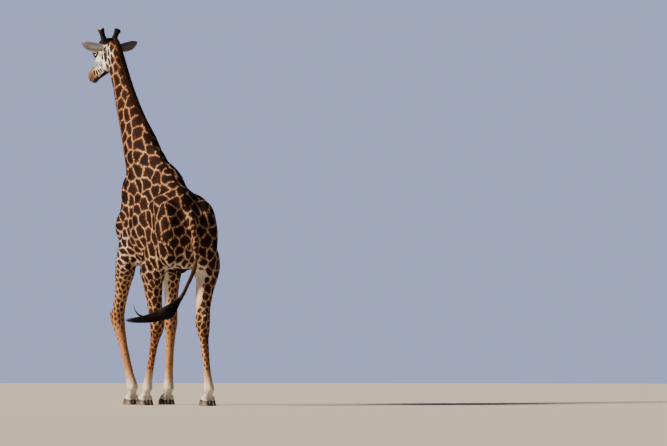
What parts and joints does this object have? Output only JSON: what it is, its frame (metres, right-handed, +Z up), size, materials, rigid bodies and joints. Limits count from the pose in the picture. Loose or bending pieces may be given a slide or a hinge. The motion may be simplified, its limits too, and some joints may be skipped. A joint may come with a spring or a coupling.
{
  "type": "giraffe model",
  "caption": "Life-size still model of a Masai giraffe bull in mid-stride, head turned a little to its left and tail swung aside.",
  "frame": {"origin": "on the floor, under the middle of the bounding box", "axes": "+Z up; the animal faces -Y, and its left side is +X"},
  "size_m": [1.247, 2.9796, 4.5254],
  "materials": {
    "coat": "short hair, dark brown jagged patches on a cream and tan ground",
    "dark_hair": "coarse dark brown to black hair of the mane, ossicones and tail brush",
    "horn": "hoof horn, worn satin, dusty at the toes",
    "eye": "wet, dark brown, nearly black"
  },
  "bodies": {
    "root": {"ear_left": "coat", "ear_right": "coat", "eye_left": "eye", "eye_right": "eye", "foreleg_left_cannon": "coat", "foreleg_left_claw_left": "horn", "foreleg_left_claw_right": "horn", "foreleg_left_pastern": "coat", "foreleg_left_upper": "coat", "foreleg_right_cannon": "coat", "foreleg_right_claw_left": "horn", "foreleg_right_claw_right": "horn", "foreleg_right_pastern": "coat", "foreleg_right_upper": "coat", "head": "coat", "hindleg_left_cannon": "coat", "hindleg_left_claw_left": "horn", "hindleg_left_claw_right": "horn", "hindleg_left_pastern": "coat", "hindleg_left_upper": "coat", "hindleg_right_cannon": "coat", "hindleg_right_claw_left": "horn", "hindleg_right_claw_right": "horn", "hindleg_right_pastern": "coat", "hindleg_right_upper": "coat", "mane": "dark_hair", "neck_lower": "coat", "neck_upper": "coat", "ossicone_left": "dark_hair", "ossicone_right": "dark_hair", "tail": "coat", "tail_tuft": "dark_hair", "trunk": "coat"}
  },
  "joints": []
}
